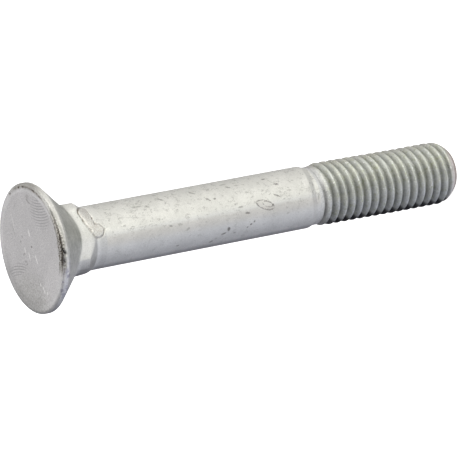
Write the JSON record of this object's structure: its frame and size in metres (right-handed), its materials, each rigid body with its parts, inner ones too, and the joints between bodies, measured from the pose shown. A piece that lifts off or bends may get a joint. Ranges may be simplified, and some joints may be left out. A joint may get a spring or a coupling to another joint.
{
  "type": "plow bolt",
  "caption": "Plow bolt in galvanised steel: flat countersunk round head, short square neck, plain shank and coarse right-hand thread.",
  "frame": {"origin": "centre of the flat end of the thread, on which the bolt stands", "axes": "+Z along the bolt's axis towards the head; the flats of the square neck face X and Y"},
  "size_m": [0.024, 0.024, 0.09],
  "materials": {
    "zinc": "hot-dip galvanised, dull and slightly mottled"
  },
  "bodies": {
    "root": {"bolt": "zinc"}
  },
  "joints": []
}
